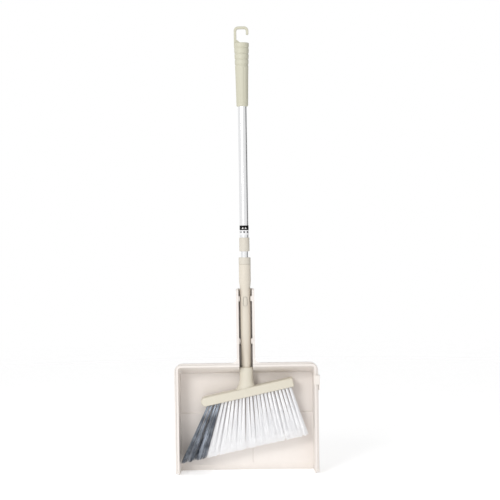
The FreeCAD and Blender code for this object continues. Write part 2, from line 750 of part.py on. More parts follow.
def handle_sleeve():
    """Short handle, thicker above its shoulder, with a neck for the brush and a bore for the pole."""
    neck_foot = socket_top - NECK_DEPTH + RUN_GAP
    step = socket_top + NECK_SHOW
    straight = nub_levels[1] - NUB_HEIGHT / 2
    shoulder = channel_end + SLEEVE_SHOULDER_RISE
    body = turned([
        (sleeve_core_r, neck_foot),
        (neck_r, neck_foot),
        (neck_r, step),
        (sleeve_r - SLEEVE_FOOT_STEP, step + NECK_CHAMFER),
        (sleeve_r - SLEEVE_FOOT_STEP, step + SLEEVE_FOOT),
        (sleeve_r, straight),
        (sleeve_r, shoulder),
        (sleeve_top_r, shoulder + SLEEVE_SHOULDER_LENGTH),
        (sleeve_top_r, sleeve_end),
        (sleeve_bore_r + SLEEVE_BORE_TOP_STEP + PRESS_GAP, sleeve_end),
        (sleeve_bore_r + SLEEVE_BORE_TOP_STEP + PRESS_GAP, sleeve_end - CAP_SPIGOT - RUN_GAP),
        (sleeve_bore_r, sleeve_end - CAP_SPIGOT - RUN_GAP),
        (sleeve_bore_r, pole_seat),
        (sleeve_core_r, pole_seat),
    ])
    return body.cut(button_window())


def sleeve_cap():
    """Ring on top of the handle, with a spigot in it, which guides the pole."""
    ring_r = sleeve_top_r + CAP_OVERHANG
    ring = tube(ring_r, sleeve_bore_r, sleeve_end, cap_top)
    ring = ring.makeFillet(CAP_ROUND, edges_on(ring, lambda p: near(math.hypot(p.x, p.y), ring_r)))
    spigot = tube(sleeve_bore_r + SLEEVE_BORE_TOP_STEP, sleeve_bore_r, sleeve_end - CAP_SPIGOT, sleeve_end)
    return ring.fuse(spigot)


def inner_pole():
    """Thin pole, with the button's window near its foot."""
    return tube(inner_pole_r, inner_bore_r, inner_pole_foot, inner_pole_end).cut(button_window())


def pole_plug():
    """Plug in the inner pole's foot, with a pocket for the button and its spring."""
    end = button_z + PLUG_OVER_BUTTON
    plug = turned([
        (0, pole_seat),
        (inner_pole_r, pole_seat),
        (inner_pole_r, inner_pole_foot),
        (plug_r, inner_pole_foot),
        (plug_r, end),
        (0, end),
    ])
    half = button_base_half + BUTTON_POCKET_GAP
    tall = BUTTON_HEIGHT / 2 + BUTTON_BASE_LIP + BUTTON_POCKET_GAP
    seat_back = button_base_back + BUTTON_TRAVEL + BUTTON_STROKE_SPARE
    seat = box((-half, half), (-2 * inner_pole_r, seat_back), (button_z - tall, button_z + tall))
    slim = SPRING_WIDTH / 2 + BUTTON_POCKET_GAP
    spring_room = SPRING_HALF_LENGTH + SPRING_END_GAP
    deep = box((-slim, slim), (seat_back - CUT_PAST, spring_pocket_back),
               (button_z - spring_room, button_z + spring_room))
    return plug.cut([seat, deep])


def lock_button():
    """Oval push button, flush with the handle, on a wider base behind the pole's wall."""
    stem = stadium(BUTTON_WIDTH, BUTTON_HEIGHT, (-2 * sleeve_r, button_base_front))
    face = Part.makeCylinder(sleeve_r, 2 * BUTTON_HEIGHT, Vector(0, 0, button_z - BUTTON_HEIGHT))
    base = stadium(2 * button_base_half, BUTTON_HEIGHT + 2 * BUTTON_BASE_LIP,
                   (button_base_front, button_base_back))
    return stem.common(face).fuse(base)


def button_spring():
    """Bowed leaf spring between the plug and the button's base."""
    back = spring_pocket_back - PRESS_GAP
    front = button_base_back + PRESS_GAP
    low = button_z - SPRING_HALF_LENGTH
    high = button_z + SPRING_HALF_LENGTH
    x = -SPRING_WIDTH / 2
    outer = Part.Arc(Vector(x, back, low), Vector(x, front, button_z), Vector(x, back, high)).toShape()
    shift = SPRING_THICKNESS
    inner = Part.Arc(Vector(x, back, high - shift), Vector(x, front + shift, button_z),
                     Vector(x, back, low + shift)).toShape()
    top = Part.makeLine(Vector(x, back, high), Vector(x, back, high - shift))
    foot = Part.makeLine(Vector(x, back, low + shift), Vector(x, back, low))
    return Part.Face(Part.Wire([outer, top, inner, foot])).extrude(Vector(SPRING_WIDTH, 0, 0))


def cam_core():
    """Plug in the inner pole's end, with the hub that carries the lock's ring."""
    hub_foot = inner_pole_end + CAM_SHOULDER
    hub_end = hub_foot + CAM_RING_LENGTH
    head_r = inner_pole_r - CAM_HEAD_STEP
    return turned([
        (0, inner_pole_end - CAM_PLUG_LENGTH),
        (plug_r, inner_pole_end - CAM_PLUG_LENGTH),
        (plug_r, inner_pole_end),
        (inner_pole_r, inner_pole_end),
        (inner_pole_r, hub_foot),
        (CAM_HUB_R, hub_foot),
        (CAM_HUB_R, hub_end),
        (head_r, hub_end),
        (head_r, hub_end + CAM_HEAD),
        (0, hub_end + CAM_HEAD),
    ])


def cam_ring():
    """Split ring of the twist lock, which drags on the outer pole's bore."""
    foot = inner_pole_end + CAM_SHOULDER + CAM_END_GAP
    end = inner_pole_end + CAM_SHOULDER + CAM_RING_LENGTH - CAM_END_GAP
    ring = tube(outer_bore_r - RUN_GAP, CAM_HUB_R + RUN_GAP, foot, end)
    slit = box((0, 2 * outer_pole_r), (-CAM_SLIT / 2, CAM_SLIT / 2), (foot - CUT_PAST, end + CUT_PAST))
    return ring.cut(slit)


def pole_collar():
    """End bush on the outer pole's foot, which guides the inner pole."""
    outer_r = outer_pole_r + COLLAR_WALL
    bore_r = outer_pole_r + PRESS_GAP
    collar = turned([
        (inner_pole_r + RUN_GAP, collar_foot),
        (outer_r, collar_foot),
        (outer_r, collar_foot + COLLAR_HEIGHT),
        (bore_r, collar_foot + COLLAR_HEIGHT),
        (bore_r, outer_pole_foot),
        (inner_pole_r + RUN_GAP, outer_pole_foot),
    ])
    return collar.makeFillet(COLLAR_ROUND, edges_on(collar, lambda p: near(math.hypot(p.x, p.y), outer_r)))


def outer_pole():
    """Thick pole, which slides over the inner one."""
    return tube(outer_pole_r, outer_bore_r, outer_pole_foot, outer_pole_end)


def pole_label():
    """Printed band on the outer pole."""
    foot = collar_foot + COLLAR_HEIGHT + LABEL_RISE
    inner_r = outer_pole_r + LABEL_GLUE
    return tube(inner_r + LABEL_THICKNESS, inner_r, foot, foot + LABEL_HEIGHT)


def grip_radius(z):
    """Outer radius of the grip's plain shape: a slight taper up to the waist, then a flare."""
    rise = z - grip_foot
    if rise < GRIP_WAIST_RISE:
        wall = GRIP_FOOT_WALL + (GRIP_WAIST_WALL - GRIP_FOOT_WALL) * rise / GRIP_WAIST_RISE
    else:
        share = (rise - GRIP_WAIST_RISE) / (GRIP_HEIGHT - GRIP_WAIST_RISE)
        wall = GRIP_WAIST_WALL + (GRIP_TOP_WALL - GRIP_WAIST_WALL) * share
    return outer_pole_r + wall


def grip_flutes():
    """Shallow flutes along the grip's lower stretch, as the rods to cut."""
    foot = grip_foot + GRIP_FLUTE_START
    end = foot + GRIP_FLUTE_LENGTH
    out = GRIP_FLUTE_R - GRIP_FLUTE_DEPTH
    start = Vector(grip_radius(foot) + out, 0, foot)
    stop = Vector(grip_radius(end) + out, 0, end)
    along = stop - start
    rod = Part.makeCylinder(GRIP_FLUTE_R, along.Length, start, along)
    rod = rod.fuse([Part.makeSphere(GRIP_FLUTE_R, start), Part.makeSphere(GRIP_FLUTE_R, stop)])
    flutes = []
    for i in range(GRIP_FLUTES):
        flute = rod.copy()
        flute.rotate(Vector(0, 0, 0), Vector(0, 0, 1), (i + 0.5) * 360 / GRIP_FLUTES)
        flutes.append(flute)
    return flutes


def hook():
    """Flat hanging hook: up from the grip's left side, across, and down to a short tip."""
    left = -grip_radius(grip_end)
    right = -left - HOOK_TIP_INSET
    top = grip_end + HOOK_HEIGHT
    tip = top - HOOK_TIP_DROP
    inner_round = HOOK_ROUND - HOOK_BAR
    tip_round = (HOOK_BAR - HOOK_TIP_FLAT) / 2
    corners = [
        (left, grip_end - HOOK_ROOT, 0),
        (left, top, HOOK_ROUND),
        (right, top, HOOK_ROUND),
        (right, tip, tip_round),
        (right - HOOK_BAR, tip, tip_round),
        (right - HOOK_BAR, top - HOOK_BAR, inner_round),
        (left + HOOK_BAR, top - HOOK_BAR, inner_round),
        (left + HOOK_BAR, grip_end + HOOK_GUSSET, HOOK_GUSSET_ROUND),
        (left + HOOK_BAR + HOOK_ROOT, grip_end, 0),
        (left + HOOK_BAR + HOOK_ROOT, grip_end - HOOK_ROOT, 0),
    ]
    bar = prism(corners, on_xz(-HOOK_WIDTH / 2), Vector(0, HOOK_WIDTH, 0))
    faces = edges_on(bar, lambda p: near(abs(p.y), HOOK_WIDTH / 2) and p.z > grip_end)
    return bar.makeFillet(HOOK_EDGE_ROUND, faces)


def pole_grip():
    """Flared grip with ring grooves, flutes and the hanging hook in one moulding."""
    foot_r = grip_radius(grip_foot)
    waist = grip_foot + GRIP_WAIST_RISE
    top_r = grip_radius(grip_end)
    waist_r = grip_radius(waist)
    body = turned([(0, grip_foot), (foot_r, grip_foot), (waist_r, waist), (top_r, grip_end), (0, grip_end)])
    body = body.makeFillet(GRIP_FOOT_ROUND, edges_on(body, lambda p: near(p.z, grip_foot) and near(
        math.hypot(p.x, p.y), foot_r)))
    body = body.makeFillet(GRIP_TOP_ROUND, edges_on(body, lambda p: near(p.z, grip_end) and near(
        math.hypot(p.x, p.y), top_r)))
    rings = []
    for i in range(GRIP_RINGS):
        level = grip_end - GRIP_RING_DROP - GRIP_RING_PITCH * i
        centre_r = grip_radius(level) + GRIP_RING_R - GRIP_RING_DEPTH
        rings.append(Part.makeTorus(centre_r, GRIP_RING_R, Vector(0, 0, level)))
    body = body.cut(rings + grip_flutes())
    bore_height = CUT_PAST + outer_pole_end - grip_foot + RUN_GAP
    bore = Part.makeCylinder(outer_pole_r + PRESS_GAP, bore_height, Vector(0, 0, grip_foot - CUT_PAST))
    return body.fuse(hook()).cut(bore)


def save(name, shape):
    """Writes one sub-part."""
    if not shape.isValid():
        raise ValueError(name + " is not a valid solid")
    print(name, len(shape.Solids), round(shape.Volume), shape.BoundBox)
    shape.exportStep(os.path.join("parts", name + ".step"))


def main():
    """Builds and writes every sub-part."""
    os.makedirs("parts", exist_ok=True)
    save("pan_tray", pan_tray())
    save("rim_clip", rim_clip())
    save("brush_block", brush_block())
    last = len(tuft_roots()) - 1
    for row in range(TUFT_ROWS):
        save("grey_tufts_row_" + str(row + 1), tuft_row(row, 0, GREY_TUFTS - 1))
        save("white_tufts_row_" + str(row + 1), tuft_row(row, GREY_TUFTS, last))
    save("tuft_anchors", tuft_anchors())
    save("handle_sleeve", handle_sleeve())
    save("sleeve_cap", sleeve_cap())
    save("inner_pole", inner_pole())
    save("pole_plug", pole_plug())
    save("lock_button", lock_button())
    save("button_spring", button_spring())
    save("cam_core", cam_core())
    save("cam_ring", cam_ring())
    save("outer_pole", outer_pole())
    save("pole_collar", pole_collar())
    save("pole_label", pole_label())
    save("pole_grip", pole_grip())


main()
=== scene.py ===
# Looks of the upright dust pan with its telescopic broom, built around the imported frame.
# Metres and radians. +Z is up, +X is to the right seen from the front, and the front is at -Y, as in the
# frame.
import math
import random

import bmesh
import bpy
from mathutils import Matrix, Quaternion, Vector


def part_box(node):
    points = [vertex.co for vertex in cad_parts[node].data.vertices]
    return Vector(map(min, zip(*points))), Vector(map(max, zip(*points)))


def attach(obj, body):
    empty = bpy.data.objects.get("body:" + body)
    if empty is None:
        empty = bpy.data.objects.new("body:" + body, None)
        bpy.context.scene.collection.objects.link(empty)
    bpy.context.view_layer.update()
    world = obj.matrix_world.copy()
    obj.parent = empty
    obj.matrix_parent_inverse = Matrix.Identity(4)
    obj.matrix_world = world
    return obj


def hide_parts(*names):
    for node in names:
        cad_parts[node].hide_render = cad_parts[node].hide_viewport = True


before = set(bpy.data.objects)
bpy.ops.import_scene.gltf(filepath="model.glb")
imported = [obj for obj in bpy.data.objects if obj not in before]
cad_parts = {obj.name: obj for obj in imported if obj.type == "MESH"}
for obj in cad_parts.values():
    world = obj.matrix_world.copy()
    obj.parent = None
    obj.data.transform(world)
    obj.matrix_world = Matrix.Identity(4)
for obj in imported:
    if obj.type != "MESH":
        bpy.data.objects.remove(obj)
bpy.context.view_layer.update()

MM = 0.001

# Camera
CAMERA_DISTANCE = 2.5
CAMERA_HEIGHT = 0.45
CAMERA_SIDE = 0.0101
CAMERA_ROLL = math.radians(-0.85)
PICTURE_WIDTH = 0.91       # across the picture, at the camera's distance
SENSOR_WIDTH = 36.0
AIM = (0.0101, 0.0, 0.4052)

# Floor and light
FLOOR_HALF = 3.2
FLOOR_DROP = 0.0002
FLOOR_GLOW = 0.4
FLOOR_COLOUR = (0.93, 0.93, 0.93, 1)
FLOOR_ROUGHNESS = 0.8
FLOOR_FADE = (0.4, 3.0)    # the floor fades out between these distances from the object
STUDIO_STRENGTH = 0.68
STUDIO_GLOSS = 0.22        # more in reflections
KEY_POWER = 25
KEY_PLACE = (-1.05, -2.3, 1.2)
KEY_SIZE = (0.75, 0.75)
KEY_TARGET = (0, 0, 0.3)
# Direction in degrees from the front, positive to the right, and how bright the studio is there
STUDIO_RING = ((-180, 0.9), (-110, 1.0), (0, 1.0), (80, 0.9), (98, 0.08), (114, 0.08), (130, 0.8), (180, 0.9))
WHITE = (1, 1, 1, 1)

# Plastic and metal surfaces. Scales are the noise's turns in a metre.
DRIFT_SCALE = 7.0          # slow drift of a plastic's colour
MOTTLE_SCALE = 85.0
GRAIN_SCALE = 2200.0       # spark-eroded grain
GRAIN_HEIGHT = 0.035 * MM
WAVE_SCALE = 130.0         # sink marks and unevenness
WAVE_HEIGHT = 0.25 * MM
SCUFF_SCALE = 420.0
SCUFF_PATCH_SCALE = 14.0   # patches where scuffs gather
SCUFF_DEPTH = 0.03 * MM
SCUFF_STRETCH = (1.0, 1.0, 0.06)
SCUFF_STEP = (-0.10, -0.10, -0.09)
PLASTIC_EDGE = 0.5 * MM    # soft edge
PLASTIC_SPECULAR = 0.45
SEAM_SHADE_REACH = 2.0 * MM      # painted shade in seams and crevices narrower than this
# Painted shade: colour and strength of the darkening in seams and crevices
SEAM_SHADE_COLOUR = (0.20, 0.17, 0.13)
SEAM_SHADE = 0.8
# Darker towards the foot: its colour, and the heights over which it fades out
FOOT_DARKENING_COLOUR = (0.42, 0.38, 0.33)
FOOT_DARKENING_HEIGHTS = (0.002, 0.016)
METAL_EDGE = 0.2 * MM
LINE_SCALE = 3800.0        # drawing lines along a pole
LINE_STRETCH = (1.0, 1.0, 0.004)
CLOUD_SCALE = 45.0
RING_SCALE = 900.0         # faint rings from sliding
RING_STRETCH = (0.05, 0.05, 1.0)
RING_DEPTH = 0.02 * MM
RING_STEP = (-0.12, -0.12, -0.12)

# Colour, the colour it drifts to, the colour of its edges (rubbed wear; on the button, painted shade of the
# gap round it), and roughness
PAN_PLASTIC = ((0.84, 0.79, 0.75), (0.81, 0.755, 0.71), (0.93, 0.90, 0.86), 0.42)
CLIP_PLASTIC = ((0.84, 0.79, 0.74), (0.81, 0.755, 0.70), (0.92, 0.88, 0.84), 0.38)
BLOCK_PLASTIC = ((0.70, 0.66, 0.56), (0.67, 0.625, 0.52), (0.80, 0.77, 0.69), 0.45)
SLEEVE_PLASTIC = ((0.725, 0.67, 0.58), (0.695, 0.635, 0.54), (0.80, 0.76, 0.69), 0.38)
CAP_PLASTIC = ((0.68, 0.64, 0.56), (0.65, 0.60, 0.52), (0.80, 0.76, 0.70), 0.34)
BUTTON_PLASTIC = ((0.71, 0.66, 0.57), (0.68, 0.63, 0.54), (0.26, 0.22, 0.17), 0.30)   # painted shade of the gap round its rim
GRIP_PLASTIC = ((0.625, 0.61, 0.495), (0.59, 0.57, 0.45), (0.72, 0.70, 0.60), 0.50)
NATURAL_NYLON = ((0.80, 0.79, 0.75), (0.76, 0.75, 0.70), (0.86, 0.85, 0.82), 0.35)
PAN_FOOT_DARKENING = 0.25
GRIP_GRAIN = (1700.0, 0.06 * MM)

# Colour, the colour it drifts to, roughness, and depth of its lines
ALUMINIUM = ((0.93, 0.93, 0.94), (0.88, 0.885, 0.89), 0.2, 0.01 * MM)
SPRING_STEEL = ((0.55, 0.56, 0.58), (0.47, 0.48, 0.50), 0.3, 0.015 * MM)

# Darkest and lightest filament, roughness, painted glow (light scattered through the filaments, painted as
# emission), and how far the tone shifts to the tips (on the white ones, lighter tips over painted shade at
# the roots)
# The grey filaments run from near black to pale blue: their own tone, with painted shade of the gaps in the
# dark end and painted highlight streaks in the light end
GREY_FILAMENT = ((0.008, 0.013, 0.026), (0.74, 0.81, 0.92), 0.42, 0.05, -0.17)
WHITE_FILAMENT = ((0.81, 0.81, 0.825), (0.97, 0.97, 0.975), 0.45, 0.145, 0.15)

# Bristles
ROWS = 4
FILAMENTS = 64             # in each tuft
FILAMENT_R = 0.2 * MM
FILAMENT_TIP = 0.55        # share of the radius that is left at the tip
FILAMENT_SIDES = 4
FILAMENT_STEPS = 6
BUNDLE_R = 2.05 * MM       # in its hole
BUNDLE_DEPTH = 5.0 * MM    # start of the filaments in the hole
BUNDLE_OPENING = 1.45      # over 1 the bundle stays closed near its root
STRANDS = 8                # a tuft parts into these
STRAND_SCATTER = 0.2
TONE_SHARES = (0.15, 0.5, 0.35)   # of a tuft, a strand and a filament
TIP_CROWDING = 1.08        # tips reach this share over to the neighbours
BOW = 0.3 * MM
CURL = 0.6 * MM
RAGGED = 1.6 * MM

# Label marks
MARK_THICKNESS = 0.05 * MM
MARK_STRIPS = 6
LIGHT_MARK = (1.8 * MM, 3.0 * MM)      # half width and height
DARK_MARK = (1.9 * MM, 4.2 * MM)
LIGHT_MARK_PLACES = (-19, 19, 101, 139, 221, 259)     # degrees round the pole, from the front
LIGHT_MARK_DROP = 0.6                  # a triangle's foot under the black band's middle, share of its height
DARK_MARK_COUNT = 8
DARK_MARK_DROP = 3.4 * MM              # middle of the dark marks, under the black band
MARK_EDGE = 0.15 * MM                  # a mark's height at its ends
WHITE_INK = ((0.75, 0.75, 0.74), (0.9, 0.9, 0.89))
BLACK_INK = ((0.004, 0.004, 0.005), (0.02, 0.02, 0.022))


# ---- Nodes

def add_node(tree, kind, inputs=None, **settings):
    """New shader node.

    Settings are its own attributes. Inputs are its sockets, each with a value or another node's output.
    """
    made = tree.nodes.new("ShaderNode" + kind)
    for name, value in settings.items():
        setattr(made, name, value)
    for socket, value in (inputs or {}).items():
        if isinstance(value, bpy.types.NodeSocket):
            tree.links.new(value, made.inputs[socket])
        else:
            made.inputs[socket].default_value = value
    return made


def new_material(name):
    """Node material with its Principled shader."""
    material = bpy.data.materials.new(name)
    material.use_nodes = True
    return material, material.node_tree, material.node_tree.nodes["Principled BSDF"]


def places(tree, stretch=(1, 1, 1)):
    """Object coordinates, stretched."""
    raw = add_node(tree, "TexCoord").outputs["Object"]
    return add_node(tree, "Mapping", {"Vector": raw, "Scale": stretch}).outputs[0]


def noise(tree, vector, scale, detail=2.0, roughness=0.5):
    """Noise value between 0 and 1, around a half."""
    inputs = {"Vector": vector, "Scale": scale, "Detail": detail, "Roughness": roughness}
    return add_node(tree, "TexNoise", inputs).outputs[0]


def ranged(tree, value, low, high, to_low, to_high):
    """Value moved from one range to another, and kept in it."""
    inputs = {"Value": value, "From Min": low, "From Max": high, "To Min": to_low, "To Max": to_high}
    return add_node(tree, "MapRange", inputs).outputs[0]


def math_node(tree, operation, a, b):
    """Two values put together."""
    return add_node(tree, "Math", {0: a, 1: b}, operation=operation).outputs[0]


def mixed(tree, factor, a, b):
    """Colour between a and b."""
    mix = add_node(tree, "Mix", data_type="RGBA")
    for index, value in ((0, factor), (6, a), (7, b)):
        if isinstance(value, bpy.types.NodeSocket):
            tree.links.new(value, mix.inputs[index])
        elif index:
            mix.inputs[index].default_value = (*value, 1)
        else:
            mix.inputs[index].default_value = value
    return mix.outputs[2]


def bump(tree, height, distance, strength, normal=None):
    """Normal raised by a height, on top of another normal."""
    inputs = {"Height": height, "Distance": distance, "Strength": strength}
    if normal is not None:
        inputs["Normal"] = normal
    return add_node(tree, "Bump", inputs).outputs[0]


def soft_edges(tree, radius):
    """Normal with rounded edges, and a mask that is 1 on those edges."""
    rounded = add_node(tree, "Bevel", {"Radius": radius}, samples=4).outputs[0]
    flat = add_node(tree, "NewGeometry").outputs["Normal"]
    agree = add_node(tree, "VectorMath", {0: rounded, 1: flat}, operation="DOT_PRODUCT").outputs["Value"]
    return rounded, ranged(tree, agree, 0.995, 0.90, 0.0, 1.0)


def moved(colour, step):
    """The colour moved by a step, channel by channel."""
    return tuple(max(0.0, a + b) for a, b in zip(colour, step))


# ---- Materials

def moulded(name, look, grain=GRAIN_SCALE, grain_height=GRAIN_HEIGHT, foot_darkening=0.0):
    """Satin moulded plastic: colour drift, mottling, grain, edges in their own colour (rubbed wear, and
    painted shade on the button's rim), scuffs, and painted shade in its seams and crevices.
    """
    colour, drift, edge_wear_and_shade_colour, roughness = look
    material, tree, shader = new_material(name)
    here = places(tree)
    slow = ranged(tree, noise(tree, here, DRIFT_SCALE, 2.0), 0.35, 0.65, 0.0, 1.0)
    mottle = ranged(tree, noise(tree, here, MOTTLE_SCALE, 5.0, 0.6), 0.3, 0.7, 0.0, 1.0)
    slow_part = math_node(tree, "MULTIPLY", slow, 0.6)
    blend = math_node(tree, "ADD", slow_part, math_node(tree, "MULTIPLY", mottle, 0.4))
    base = mixed(tree, blend, colour, drift)
    normal, edge = soft_edges(tree, PLASTIC_EDGE)
    # Edges in their own colour: rubbed wear, and on the button painted shade of the gap round it.
    edge_wear_and_shade = math_node(tree, "MULTIPLY", edge, ranged(tree, mottle, 0.2, 0.8, 0.15, 0.6))
    base = mixed(tree, edge_wear_and_shade, base, edge_wear_and_shade_colour)
    scratch = noise(tree, places(tree, SCUFF_STRETCH), SCUFF_SCALE, 3.0, 0.7)
    scuff = ranged(tree, scratch, 0.64, 0.74, 0.0, 1.0)
    patch = ranged(tree, noise(tree, here, SCUFF_PATCH_SCALE), 0.45, 0.65, 0.0, 0.5)
    scuff = math_node(tree, "MULTIPLY", scuff, patch)
    base = mixed(tree, scuff, base, moved(colour, SCUFF_STEP))
    # Darker towards the foot, fading out between the given heights with a mottled edge.
    if foot_darkening:
        parts = add_node(tree, "SeparateXYZ", {0: here})
        height = math_node(tree, "ADD", parts.outputs["Z"], math_node(tree, "MULTIPLY", mottle, 0.006))
        darker_below = ranged(tree, height, *FOOT_DARKENING_HEIGHTS, foot_darkening, 0.0)
        base = mixed(tree, darker_below, base, FOOT_DARKENING_COLOUR)
    # Painted shade: darker where nearby surfaces close in, in seams and crevices.
    closed = add_node(tree, "AmbientOcclusion", {"Distance": SEAM_SHADE_REACH}, samples=8).outputs["AO"]
    base = mixed(tree, ranged(tree, closed, 0.55, 0.15, 0.0, SEAM_SHADE), base, SEAM_SHADE_COLOUR)
    tree.links.new(base, shader.inputs["Base Color"])
    gloss = ranged(tree, blend, 0.0, 1.0, roughness - 0.05, roughness + 0.06)
    gloss = math_node(tree, "ADD", gloss, math_node(tree, "MULTIPLY", scuff, 0.15))
    tree.links.new(gloss, shader.inputs["Roughness"])
    skin = bump(tree, noise(tree, here, grain, 3.0, 0.6), grain_height, 0.5, normal)
    skin = bump(tree, noise(tree, here, WAVE_SCALE, 2.0), WAVE_HEIGHT, 0.12, skin)
    skin = bump(tree, scuff, SCUFF_DEPTH, 0.4, skin)
    tree.links.new(skin, shader.inputs["Normal"])
    shader.inputs["Specular IOR Level"].default_value = PLASTIC_SPECULAR
    return material


def drawn_metal(name, look):
    """Drawn metal: lines along the pole, faint rings from handling, cloudy anodising."""
    colour, drift, roughness, line_depth = look
    material, tree, shader = new_material(name)
    here = places(tree)
    lines = noise(tree, places(tree, LINE_STRETCH), LINE_SCALE, 3.0, 0.6)
    cloud = noise(tree, here, CLOUD_SCALE, 4.0, 0.6)
    rings = noise(tree, places(tree, RING_STRETCH), RING_SCALE, 3.0, 0.7)
    ring = ranged(tree, rings, 0.66, 0.76, 0.0, 0.35)
    blend = math_node(tree, "MULTIPLY", math_node(tree, "ADD", lines, cloud), 0.5)
    base = mixed(tree, ranged(tree, blend, 0.35, 0.65, 0.0, 1.0), colour, drift)
    tree.links.new(mixed(tree, ring, base, moved(drift, RING_STEP)), shader.inputs["Base Color"])
    gloss = ranged(tree, blend, 0.3, 0.7, roughness - 0.05, roughness + 0.07)
    gloss = math_node(tree, "ADD", gloss, math_node(tree, "MULTIPLY", ring, 0.3))
    tree.links.new(gloss, shader.inputs["Roughness"])
    skin = bump(tree, lines, line_depth, 0.35, soft_edges(tree, METAL_EDGE)[0])
    skin = bump(tree, ring, RING_DEPTH, 0.3, skin)
    tree.links.new(skin, shader.inputs["Normal"])
    shader.inputs["Metallic"].default_value = 1.0
    return material


def filament_material(name, look):
    """Extruded filaments: a tone for each, which shifts towards the tips, with faint die lines and a painted
    glow in their own colour.
    """
    dark, light, roughness, painted_glow, tip_shift = look
    material, tree, shader = new_material(name)
    tone = add_node(tree, "Attribute", attribute_name="tone").outputs["Fac"]
    along = add_node(tree, "Attribute", attribute_name="along").outputs["Fac"]
    patch = noise(tree, places(tree), 55.0, 3.0)
    blend = math_node(tree, "MULTIPLY", tone, ranged(tree, patch, 0.35, 0.65, 0.6, 1.0))
    # Tone shift along the filament: on the white ones lighter tips, which leaves painted shade at the roots;
    # on the grey ones darker tips.
    blend = math_node(tree, "ADD", blend, ranged(tree, along, 0.0, 1.0, 0.0, tip_shift))
    # Colour between the darkest and lightest tone; on the grey filaments this spread holds painted shade and
    # painted highlight streaks.
    colour = mixed(tree, ranged(tree, blend, 0.2, 0.7, 0.0, 1.0), dark, light)
    tree.links.new(colour, shader.inputs["Base Color"])
    # Painted light: the filaments glow in their own colour, standing in for light scattered through them.
    tree.links.new(colour, shader.inputs["Emission Color"])
    shader.inputs["Emission Strength"].default_value = painted_glow
    gloss = ranged(tree, tone, 0.0, 1.0, roughness - 0.08, roughness + 0.1)
    tree.links.new(gloss, shader.inputs["Roughness"])
    die_lines = noise(tree, places(tree, (1.0, 1.0, 0.15)), 5200.0, 2.0)
    tree.links.new(bump(tree, die_lines, 0.02 * MM, 0.4), shader.inputs["Normal"])
    return material


def label_material(split):
    """Printed film: a black band over a white one, split at a height, with a slightly uneven print."""
    material, tree, shader = new_material("label_film")
    here = places(tree)
    fibre = noise(tree, here, 2600.0, 3.0, 0.7)
    edge = math_node(tree, "MULTIPLY", math_node(tree, "SUBTRACT", fibre, 0.5), 0.15 * MM)
    height = math_node(tree, "ADD", add_node(tree, "SeparateXYZ", {0: here}).outputs["Z"], edge)
    black = ranged(tree, height, split - 0.05 * MM, split + 0.05 * MM, 0.0, 1.0)
    speckle = ranged(tree, fibre, 0.3, 0.7, 0.0, 1.0)
    ink = mixed(tree, speckle, (0.002, 0.002, 0.002), (0.006, 0.006, 0.006))
    film = mixed(tree, speckle, (0.80, 0.80, 0.81), (0.88, 0.88, 0.89))
    tree.links.new(mixed(tree, black, film, ink), shader.inputs["Base Color"])
    tree.links.new(ranged(tree, fibre, 0.3, 0.7, 0.4, 0.55), shader.inputs["Roughness"])
    tree.links.new(bump(tree, fibre, 0.01 * MM, 0.4), shader.inputs["Normal"])
    shader.inputs["Specular IOR Level"].default_value = 0.1
    return material


def ink_material(name, low, high):
    """Ink of a raised mark."""
    material, tree, shader = new_material(name)
    fibre = noise(tree, places(tree), 3100.0, 3.0, 0.7)
    tree.links.new(mixed(tree, fibre, low, high), shader.inputs["Base Color"])
    tree.links.new(ranged(tree, fibre, 0.3, 0.7, 0.3, 0.5), shader.inputs["Roughness"])
    tree.links.new(bump(tree, fibre, 0.01 * MM, 0.4), shader.inputs["Normal"])
    return material


def wear(material, *nodes):
    """Gives CAD nodes their material."""
    for node in nodes:
        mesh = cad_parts[node].data
        mesh.materials.clear()
        mesh.materials.append(material)


# ---- Bristles

def islands(mesh):
    """Corner places of every separate solid in a mesh."""
    solid = bmesh.new()
    solid.from_mesh(mesh)
    bmesh.ops.remove_doubles(solid, verts=solid.verts, dist=1e-6)
    found = []
    seen = set()
    for start in solid.verts:
        if start in seen:
            continue
        seen.add(start)
        group = [start]
        for vertex in group:
            for edge in vertex.link_edges:
                other = edge.other_vert(vertex)
                if other not in seen:
                    seen.add(other)
                    group.append(other)
        found.append([vertex.co.copy() for vertex in group])
    solid.free()
    return found


def row_name(colour, row):
    return colour + "_tufts_row_" + str(row + 1)


def corners(node):
    return [vertex.co.copy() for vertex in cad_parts[node].data.vertices]


def bar_axes():
    """Direction along the brush's bar and down its bristles, and how far down its underside and tips lie."""
    names = [row_name(colour, row) for row in range(ROWS) for colour in ("grey", "white")]
    tips = [place for name in names for place in corners(name)]
    low = min(tips, key=lambda p: p.z)
    far = max(tips, key=lambda p: p.x)
    along = Vector((far.x - low.x, 0, far.z - low.z)).normalized()
    down = Vector((along.z, 0, -along.x))
    underside = max(place.dot(down) for place in corners("brush_block"))
    return along, down, underside, low.dot(down)


def tuft_lines():
    """Root and tip of each tuft, row by row and from left to right, found from the anchors in the holes."""
    along, down, underside, tip_level = bar_axes()
    lines = []
    for solid in islands(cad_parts["tuft_anchors"].data):
        centre = sum(solid, Vector()) / len(solid)
        start = solid[0]
        edge = sorted((place - start for place in solid[1:]), key=lambda e: e.length)[1]
        towards = edge.normalized() if edge.dot(down) > 0 else -edge.normalized()
        pace = towards.dot(down)
        root = centre + towards * ((underside - centre.dot(down)) / pace)
        tip = centre + towards * ((tip_level - centre.dot(down)) / pace)
        lines.append((root, tip))
    lines.sort(key=lambda line: line[0].y)
    size = len(lines) // ROWS
    rows = [lines[size * row:size * (row + 1)] for row in range(ROWS)]
    return [sorted(row, key=lambda line: line[0].dot(along)) for row in rows]


